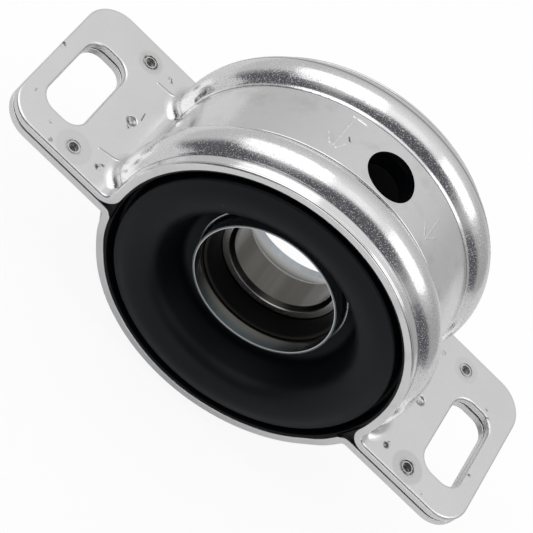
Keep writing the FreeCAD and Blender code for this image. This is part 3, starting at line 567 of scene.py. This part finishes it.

# %% [markdown]
# At both feet of each bead the tool has left a sharp line. One more runs just
# behind the front rim, and a broad one lies on the rear bead. They are too
# fine to model, so each is a shallow groove in the bump, with painted shade
# along its bottom. A line is given by its place, its strength and its half width.

# %% Zinc-plated sheet: lines round the drum
LINES = [(-25.35, 0.5, 0.22), (-22.6, 0.8, 0.22), (-9.65, 1.0, 0.22),
         (9.65, 1.0, 0.22), (18.0, 0.8, 0.6), (23.05, 0.7, 0.22)]
LINE_DEPTH, LINE_SHOULDER, LINE_CORE = 0.12, 2.0, 0.2
creases, crease_shade = 0.0, 0.0
for place, strength, half in LINES:
    beside = (zinc.y - place).size()
    creases = beside.fade(LINE_SHOULDER * half, 0.0) * on_drum * strength + creases
    # The second mask is painted shade: it darkens the colour along each groove's bottom.
    crease_shade = beside.fade(half, LINE_CORE * half) * on_drum * strength + crease_shade
relief = zinc.bump(creases, -LINE_DEPTH, relief)
print("Lines round the drum:", len(LINES))

# %% [markdown]
# Handling and assembly leave their own marks. Each could be painted, but a
# mark that is a spot or a stroke at its measured place stays sharp at any
# distance. A mark on an ear is placed by X and Y. One on the drum is placed by
# the length along the drum's outside from the top, and by Y.

# %% Zinc-plated sheet: spots and strokes
def away(x, y):
    """The distance from a place on an ear, in X and Y."""
    across, along = zinc.x - x, zinc.y - y
    return (across * across + along * along).root()


def spot(x, y, radius, edge):
    """1 within a radius of x, y, falling to 0 over an edge."""
    return away(x, y).fade(radius + edge, radius)


def stroke(start, end, width, edge, along=zinc.x):
    """1 on a straight stroke from start to end, falling to 0 over an edge."""
    way = (end[0] - start[0], end[1] - start[1])
    square = way[0] ** 2 + way[1] ** 2
    u, v = along - start[0], zinc.y - start[1]
    share = ((u * way[0] + v * way[1]) / square).clamped()
    u, v = u - share * way[0], v - share * way[1]
    return (u * u + v * v).root().fade(width / 2 + edge, width / 2)


# %% [markdown]
# The two sheets are held together by four pressed joints. Each has a dark
# well, a broken ring and a faint halo round it, and no two look the same. So a
# joint is given by its place, the colour of its well, the radius of its halo
# and its strength. On each ear one dent lies between the joints and the drum,
# and its colour is darkened as painted shade in the dent.

# %% Zinc-plated sheet: joints and dents
JOINTS = [((-61.2, -21.35), (0.14, 0.105, 0.10), 5.2, 0.6),
          ((-61.2, 19.8), (0.21, 0.175, 0.13), 3.7, 1.0),
          ((61.2, -21.35), (0.035, 0.034, 0.032), 4.9, 1.2),
          ((61.2, 19.8), (0.36, 0.36, 0.35), 4.0, 0.5)]
HALO_OUT, HALO_IN, HALO_TINT = 0.5, 0.4, 0.14
SOOT_OUT, SOOT_IN, SOOT_TINT = 3.4, 1.9, 0.22
RING_RADIUS, RING_OUT, RING_IN, RING_DEPTH = 2.05, 0.4, 0.1, 0.12
WELL_OUT, WELL_IN = 1.45, 1.15
DENTS = [(-54.5, -0.6, 0.8), (54.5, -0.6, 0.7)]
DENT_RADIUS, DENT_EDGE, DENT_OUT, DENT_IN, DENT_SHADE = 0.7, 1.2, 1.9, 0.8, 0.6
broken = zinc.noise(800.0, 2.0).fade(0.38, 0.62)
tone = zinc.mix(patches, (0.77, 0.77, 0.775), (0.83, 0.83, 0.83))
smudge_and_dent_shade, rings = 0.0, 0.0
for (x, y), well, halo, strength in JOINTS:
    near = away(x, y)
    smudge_and_dent_shade = near.fade(halo + HALO_OUT, halo - HALO_IN) * (HALO_TINT * strength) + smudge_and_dent_shade
    smudge_and_dent_shade = near.fade(SOOT_OUT, SOOT_IN) * (SOOT_TINT * strength) * broken + smudge_and_dent_shade
    ring = (near - RING_RADIUS).size().fade(RING_OUT, RING_IN)
    rings = ring * (0.4 + 0.5 * broken) * strength + rings
    in_well = near.fade(WELL_OUT, WELL_IN) * on_ear
    tone = zinc.mix(in_well * (0.7 + 0.3 * broken), tone, well)
relief = zinc.bump(rings * on_ear, -RING_DEPTH, relief)
for x, y, depth in DENTS:
    # Painted shade: each dent is darkened in colour as well as bumped.
    smudge_and_dent_shade = away(x, y).fade(DENT_OUT, DENT_IN) * DENT_SHADE * broken + smudge_and_dent_shade
    relief = zinc.bump(spot(x, y, DENT_RADIUS, DENT_EDGE) * on_ear, -depth, relief)
print("Joints:", len(JOINTS), "dents:", len(DENTS))

# %% [markdown]
# The small marks are of four sorts: nicks and scratches dig into the ears,
# ridges run out from the beads' ends on the left ear, and thin lines are
# scribed on the drum as simple arrows. A nick is given by X, Y and its radius,
# and the others by their two ends. A noise breaks up the nicks, so that they
# don't look like round dots.

# %% Zinc-plated sheet: nicks, scratches, ridges and scribed lines
NICKS = [(-54.3, 20.3, 0.35), (-53.5, 19.8, 0.2), (-53.1, -20.4, 0.7), (-52.2, -19.3, 0.35),
         (-66.9, -25.0, 0.3), (52.8, -20.9, 0.7), (53.4, -19.6, 0.3), (52.9, 18.6, 0.4),
         (-70.0, -20.5, 0.15), (72.4, 14.6, 0.2), (74.0, 12.2, 0.15), (-81.6, 2.2, 0.7),
         (68.0, -24.5, 0.2), (77.5, -8.0, 0.15), (-78.0, -16.0, 0.15), (63.0, 6.0, 0.12)]
SCRATCHES = [((-52.7, 1.9), (-53.1, 4.6)), ((-72.0, -14.0), (-70.8, -15.4))]
RIDGES = [((-55.9, 16.1), (-50.7, 16.5)), ((-56.0, -15.6), (-50.3, -14.4))]
SCRIBED = [((-16.3, 7.7), (-16.8, -4.6)), ((-19.8, -1.2), (-17.1, -5.7)),
           ((-15.9, -5.2), (-14.2, -2.2)), ((-16.7, 7.8), (-12.7, 7.4)),
           ((14.5, -2.3), (16.6, -5.3)), ((17.6, 3.2), (17.5, -5.2)), ((17.5, -5.2), (20.0, -1.8))]
HAIR, NICK_EDGE, SCRATCH_EDGE, RIDGE_EDGE, SCRIBED_EDGE = 0.1, 0.7, 0.25, 0.4, 0.35
NICK_DEPTH, RIDGE_HEIGHT, SCRIBED_HEIGHT = 0.1, 0.16, 0.07
SMEAR = 0.5
nicks = stroke((-54.9, -1.6), (-53.9, -3.3), SMEAR, SMEAR) * broken
ridges, scribed = 0.0, 0.0
for x, y, radius in NICKS:
    nicks = spot(x, y, radius, NICK_EDGE) * broken + nicks
for start, end in SCRATCHES:
    nicks = stroke(start, end, HAIR, SCRATCH_EDGE) * 0.8 + nicks
for start, end in RIDGES:
    ridges = stroke(start, end, HAIR, RIDGE_EDGE) + ridges
for start, end in SCRIBED:
    scribed = stroke(start, end, HAIR, SCRIBED_EDGE, around) + scribed
speck = stroke((-14.5, 0.2), (-13.6, -1.4), HAIR, SCRIBED_EDGE, around) * broken
# The fold is painted shade: a dark stroke where the sheet folds into shade, with no bump under it.
painted_fold_shade = stroke((-68.2, 10.7), (-63.6, 11.2), 0.4, SMEAR, around) * (0.55 + 0.4 * broken)
relief = zinc.bump(nicks * on_ear, -NICK_DEPTH, relief)
relief = zinc.bump(ridges * on_ear, RIDGE_HEIGHT, relief)
relief = zinc.bump(scribed * (0.4 + broken) * on_drum, SCRIBED_HEIGHT, relief)
print("Nicks:", len(NICKS), "scribed lines:", len(SCRIBED))

# %% [markdown]
# Everything dark, marks and painted shade alike, is added up before it goes
# into the colour, so that one doesn't hide another. Fine dust in the grain
# keeps the flat ears from looking painted, and faint clouds do the same for the
# plain band of the drum. Dull crystals raise the roughness in tiny spots, most
# of all on the beads. They scatter the light, which speckles the dark
# reflections there.

# %% Zinc-plated sheet: the finish
DUST, CLOUDS, DULL_GRAINS = 2600.0, 110.0, 3100.0
DUST_TINT, CLOUD_TINT, RING_TINT, CREASE_SHADE_TINT, SCRIBED_TINT = 0.07, 0.14, 0.55, 0.75, 0.2
dust = zinc.noise(DUST, 1.0).fade(0.60, 0.78)
clouds = zinc.noise(CLOUDS, 3.0).fade(0.48, 0.72) * on_drum * (1.0 - on_bead)
stains_and_shade = (smudge_and_dent_shade + rings * RING_TINT + nicks) * on_ear + (speck + painted_fold_shade) * on_drum
stains_and_shade = stains_and_shade + dust * DUST_TINT + clouds * CLOUD_TINT
# Painted shade along the bottoms of the lines round the drum.
tone = zinc.mix(crease_shade.clamped() * CREASE_SHADE_TINT, tone, (0.10, 0.10, 0.105))
tone = zinc.mix(stains_and_shade.clamped(), tone, (0.13, 0.125, 0.12))
tone = zinc.mix((scribed * SCRIBED_TINT * on_drum).clamped(), tone, (1.0, 1.0, 1.0))
dull = zinc.noise(DULL_GRAINS, 1.0).fade(0.55, 0.64) * (patches + 0.3) * (0.3 + 0.7 * on_bead)
rough = 0.10 + 0.06 * patches + 0.03 * drawn + on_ear * 0.15 + smudge_and_dent_shade * 0.3 + dull * 0.42
zinc.set({"Base Color": tone, "Roughness": rough.clamped(), "Normal": relief})

# %% [markdown]
# The rubber is a satin black with a faint blue cast. Plain black would look
# like a hole, so its skin varies a little in colour and gloss, is lightly
# pored, and has a few grains of dust on it.

# %% Rubber
PORES, PORE_DEPTH = 2600.0, 0.01
rubber = Finish("cushion_rubber", {"Specular IOR Level": 0.22})
bloom = rubber.noise(70.0, 4.0)
pores = rubber.noise(PORES, 2.0)
specks = rubber.noise(1100.0, 1.0).fade(0.80, 0.84) * rubber.noise(40.0, 1.0).fade(0.5, 0.62)
skin = rubber.mix(bloom, (0.0020, 0.0028, 0.0044), (0.0038, 0.0048, 0.0070))
rubber.set({"Base Color": rubber.mix(specks, skin, (0.12, 0.11, 0.10)),
            "Roughness": 0.40 + 0.10 * bloom,
            "Normal": rubber.bump(pores, PORE_DEPTH, strength=0.4)})

# %% [markdown]
# A dust seal is the same rubber, more matt, on a thin steel case. The case is
# bare on the side toward the bearing, so the rear seal shows steel when one
# looks at it through the bore. The front seal's outer edge is painted a warm
# grey, a painted highlight. The case isn't a piece of its own, so masks along
# the cone mark it.

# %% Seals
CASE_RADIUS, CASE_START, CASE_SLOPE, CASE_FROM = 17.2, 7.0, 0.19, 7.2
CASE_FAR, CASE_NEAR = 1.8, 1.5
SHADE_START, SHADE_END = 7.4, 12.4
RIM_LIGHT_START, RIM_LIGHT_END, RIM_LIGHT_BEFORE = 19.2, 20.1, -11.5
seal = Finish("seal_rubber", {"Specular IOR Level": 0.2})
case_line = CASE_RADIUS + CASE_SLOPE * (seal.y - CASE_START)
case = (seal.reach() - case_line).fade(CASE_FAR, CASE_NEAR) * seal.y.above(CASE_FROM)
# Painted shade: the bare case is painted darker toward the bearing.
painted_case_shade = seal.y.fade(SHADE_START, SHADE_END)
turned = seal.noise(1.0, 2.0, seal.joined(seal.x * 0.05, seal.y * 3.0, seal.z * 0.05))
# A painted highlight: the front seal's outer edge is painted a warm grey.
painted_rim_highlight = seal.reach().fade(RIM_LIGHT_START, RIM_LIGHT_END) * (1.0 - seal.y.above(RIM_LIGHT_BEFORE))
matt_and_highlight = seal.mix(painted_rim_highlight, (0.003, 0.003, 0.003), (0.065, 0.060, 0.055))
bare = seal.mix(painted_case_shade * (0.75 + 0.25 * turned), (0.06, 0.06, 0.058), (0.62, 0.62, 0.61))
seal.set({"Base Color": seal.mix(case, matt_and_highlight, bare), "Metallic": case,
          "Roughness": 0.55 - 0.30 * case,
          "Normal": seal.bump(seal.noise(2400.0, 2.0), PORE_DEPTH, strength=0.3)})

# %% [markdown]
# The sleeve is drawn from thin bluish sheet, which leaves faint lines along
# it. Its tube is painted darker inside than out, which is painted shade, with a
# warm band of old grease before the seal, and the cut end of the tube is a thin
# bright line. All of it is one CAD piece, so each part of the look is a mask by
# radius and by place.

# %% Sleeves
CUT_START, CUT_FULL, CUT_OUT, CUT_IN = 0.25, 0.1, 0.34, 0.16
WALL_OUT, WALL_FULL = 0.62, 0.5
GREASE_START, GREASE_FULL, GREASE_TINT = -16.6, -14.8, 0.7
sleeve = Finish("sleeve_steel", {"Metallic": 1.0})
lines = sleeve.noise(1.0, 3.0, sleeve.joined(sleeve.x * 0.4, sleeve.y * 0.08, sleeve.z * 0.4))
tube_end = max(abs(corner[1]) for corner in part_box("front_sleeve")) / MM
at_end = sleeve.y.size().fade(tube_end - CUT_START, tube_end - CUT_FULL)
cut_end = at_end * sleeve.reach().fade(TUBE_INSIDE + CUT_OUT, TUBE_INSIDE + CUT_IN)
# Painted shade: the inner wall of the tube gets a darker colour than the outside.
inside = sleeve.reach().fade(TUBE_INSIDE + WALL_OUT, TUBE_INSIDE + WALL_FULL)
inside = inside * (1.0 - sleeve.y.above(0.0))
greased = sleeve.y.fade(GREASE_START, GREASE_FULL) * GREASE_TINT
bluish = sleeve.mix(lines, (0.070, 0.092, 0.100), (0.15, 0.175, 0.182))
bluish = sleeve.mix(greased, bluish, (0.18, 0.165, 0.145))
plain = sleeve.mix(lines, (0.36, 0.39, 0.42), (0.56, 0.60, 0.63))
drawn_steel = sleeve.mix(inside, plain, bluish)
sleeve.set({"Base Color": sleeve.mix(cut_end, drawn_steel, (0.66, 0.67, 0.68)),
            "Roughness": 0.16 + 0.12 * lines,
            "Normal": sleeve.bump(lines, 0.02, strength=0.5)})

# %% [markdown]
# The races are ground, which leaves fine lines round the axis. The bore is
# painted a dark brown, which is painted shade inside it. The chamfers are
# painted darker still, as painted shade, and their edges carry a painted
# highlight. The lines come from a noise that is drawn out round the axis, since
# real grooves so fine would need millions of faces. The cage is plain rolled
# strip, and it is hidden while the bearing is closed.

# %% Races and cage
BORE_END, CHAMFER_RADIUS = 4.9, 16.1
BORE_FADE, CHAMFER_FADE, EDGE_OUT, EDGE_IN, CHAMFER_HIGHLIGHT = 0.1, 0.05, 0.28, 0.1, 0.8
ground = Finish("ground_steel", {"Metallic": 1.0})
rounds = ground.noise(1.0, 2.0, ground.joined(ground.x * 0.05, ground.y * 4.0, ground.z * 0.05))
bands = ground.noise(4.0, 2.0, ground.joined(ground.angle(), 0.0, 0.0))
in_bore = ground.reach().fade(CHAMFER_RADIUS + BORE_FADE, CHAMFER_RADIUS - BORE_FADE)
painted_chamfer_shade = in_bore * ground.y.size().fade(BORE_END - CHAMFER_FADE, BORE_END + CHAMFER_FADE)
edge = (ground.reach() - CHAMFER_RADIUS).size().fade(EDGE_OUT, EDGE_IN)
steel = ground.mix(rounds, (0.62, 0.61, 0.59), (0.82, 0.80, 0.77))
# Painted shade: the bore is darker and browner than the race faces.
painted_bore_shade = ground.mix(bands, (0.09, 0.086, 0.078), (0.20, 0.193, 0.18))
tint = ground.mix(in_bore, steel, painted_bore_shade)
# Painted shade on the chamfers.
tint = ground.mix(painted_chamfer_shade, tint, (0.075, 0.072, 0.068))
# A painted highlight along the chamfers' edges.
tint = ground.mix(edge * CHAMFER_HIGHLIGHT, tint, (0.85, 0.84, 0.82))
ground.set({"Base Color": tint, "Roughness": 0.20 + 0.10 * rounds,
            "Normal": ground.bump(rounds, 0.01, strength=0.5)})
cage = Finish("cage_steel", {"Metallic": 1.0})
rolled = cage.noise(900.0, 3.0)
cage.set({"Base Color": cage.mix(rolled, (0.45, 0.45, 0.46), (0.60, 0.60, 0.60)),
          "Roughness": 0.28 + 0.15 * rolled})

# %% [markdown]
# Each material slot of the record gets its finish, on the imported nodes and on
# the pieces made here. The slots are read from the record, so that a node's
# material is written down in one place only.

# %% Give out the materials
FINISHES = {"zinc_steel": zinc, "cushion_rubber": rubber, "seal_rubber": seal,
            "sleeve_steel": sleeve, "bearing_steel": ground, "cage_steel": cage}


def dress(piece, slot):
    """Give a piece the one material of a slot."""
    piece.data.materials.clear()
    piece.data.materials.append(FINISHES[slot].material)


for row in frame["record"]["subparts"]:
    dress(nodes[row["node"]], row["material_slot"])
for piece, slot in MADE:
    dress(piece, slot)
for slot, finish in FINISHES.items():
    print(slot, "is", finish.material.name, "with", len(finish.tree.nodes), "nodes")

# %% [markdown]
# The room is what the plating mirrors: bright overhead, grey at the back, dim
# on the camera's side and low at its left and right, with a bright strip at
# the front along the horizon. Cards round the part could do the same, but they
# would throw shadows, so the world's level follows the direction instead. The
# dim parts lean a little to blue, and the camera itself sees plain white.

# %% The room: its directions
LOW_LEFT, STRIP_MIDDLE = (-0.643, -0.766), (0.17, -0.985)
LOW_RIGHT, CAMERA_SIDE = (0.905, -0.42, -0.02), (0.164, -0.771, 0.616)
world = bpy.data.worlds.new("studio")
world.use_nodes = True
room = Wire(world.node_tree)
direction = room.node("ShaderNodeTexCoord", output="Generated").parts()
right, rear, up = direction
level_length = (right * right + rear * rear).root().most(0.001)
compass = [right / level_length, rear / level_length]
east, north = compass


def lean(parts, target):
    """How far a direction leans to a target: the sum of their products."""
    return sum(part * share for part, share in zip(parts, target))


# %% The room: its levels
BACK, BACK_RISE, SIDE_DROP, DIM, OVERHEAD, STRIP = 0.57, 0.30, 0.30, 0.10, 1.05, 1.05
COOL = 0.012
back = BACK + BACK_RISE * up * up
back = back * (1.0 - SIDE_DROP * east.fade(0.5, 0.95) * up.size().fade(0.5, 0.2))
low_left = lean(compass, LOW_LEFT).fade(0.50, 0.85)
low_left = low_left * up.fade(0.60, 0.25) * up.fade(-0.40, -0.20)
low_right = lean(direction, LOW_RIGHT).fade(0.915, 0.975)
camera_side = lean(direction, CAMERA_SIDE).fade(0.76, 0.94)
below_camera = north.fade(-0.65, -0.93) * up.fade(0.80, 0.60)
dim = low_left.most(camera_side).most(below_camera).most(low_right)
strip = lean(compass, STRIP_MIDDLE).fade(0.88, 0.96)
strip = strip * up.fade(0.38, 0.22) * up.fade(-0.30, -0.15)
level = back + dim * (DIM - back)
level = level + up.fade(0.93, 0.995) * (OVERHEAD - level)
level = level + strip * (STRIP - level)
seen = room.node("ShaderNodeLightPath", output="Is Camera Ray")
level = level + seen * (1.0 - level)
cool = dim * (1.0 - seen) * COOL
tinted = room.node("ShaderNodeCombineXYZ", sockets={0: level, 1: level, 2: level + cool})
room.plug(world.node_tree.nodes["Background"].inputs["Color"], tinted)
scene = bpy.context.scene
scene.world = world
scene.view_settings.view_transform = "Standard"
print("The room has", len(world.node_tree.nodes), "nodes")

# %% [markdown]
# Two softboxes stand over the ears, the left one larger and stronger. A small
# lamp would leave hard dots on the beads, and a large one leaves the long soft
# highlights of a studio.

# %% Softboxes
SOFTBOX_SIDE, SOFTBOX_UP, SOFTBOX_AWAY = 0.669, 0.743, 0.9


def softbox(name, hand, wide, tall, power):
    """A rectangular lamp over an ear, on the right (1) or on the left (-1)."""
    lamp = bpy.data.lights.new(name, "AREA")
    lamp.shape = "RECTANGLE"
    lamp.size, lamp.size_y = wide, tall
    lamp.energy = power
    box = bpy.data.objects.new(name, lamp)
    scene.collection.objects.link(box)
    toward = Vector((hand * SOFTBOX_SIDE, 0.0, SOFTBOX_UP)).normalized()
    box.location = toward * SOFTBOX_AWAY
    box.rotation_euler = toward.to_track_quat("Z", "Y").to_euler()
    box.visible_camera = False
    print(name, "gives", power, "watts")


softbox("left_softbox", -1, 0.94, 0.86, 1.95)
softbox("right_softbox", 1, 0.68, 0.58, 0.98)

# %% [markdown]
# The part lies over a sheet of pale paper. More light would whiten the paper,
# but it would bleach the part too. So the camera sees a share of plain glow on
# the paper, and the rest stays plain paper, which keeps the part's shadow.

# %% The floor
FLOOR_GAP, FLOOR_SIZE = 0.0005, 0.6
GLOW_SHARE, GLOW_LEVEL = 0.88, 1.03
floor_level = cad_box[0][2] - FLOOR_GAP
bpy.ops.object.select_all(action="DESELECT")
bpy.ops.mesh.primitive_plane_add(size=FLOOR_SIZE, location=(0, 0, floor_level))
floor = bpy.context.object
floor.name = "floor"
paper = Finish("floor_paper", {"Base Color": (0.86, 0.86, 0.86), "Roughness": 0.9})
by_camera = paper.maker.node("ShaderNodeLightPath", output="Is Camera Ray")
glow = paper.maker.node("ShaderNodeEmission", sockets={0: (1.0, 1.0, 1.0), 1: GLOW_LEVEL})
blend = paper.maker.node("ShaderNodeMixShader", sockets={
    0: by_camera * GLOW_SHARE, 1: Wire(paper.tree, paper.shader.outputs[0]), 2: glow})
paper.maker.plug(paper.tree.nodes["Material Output"].inputs["Surface"], blend)
floor.data.materials.append(paper.material)
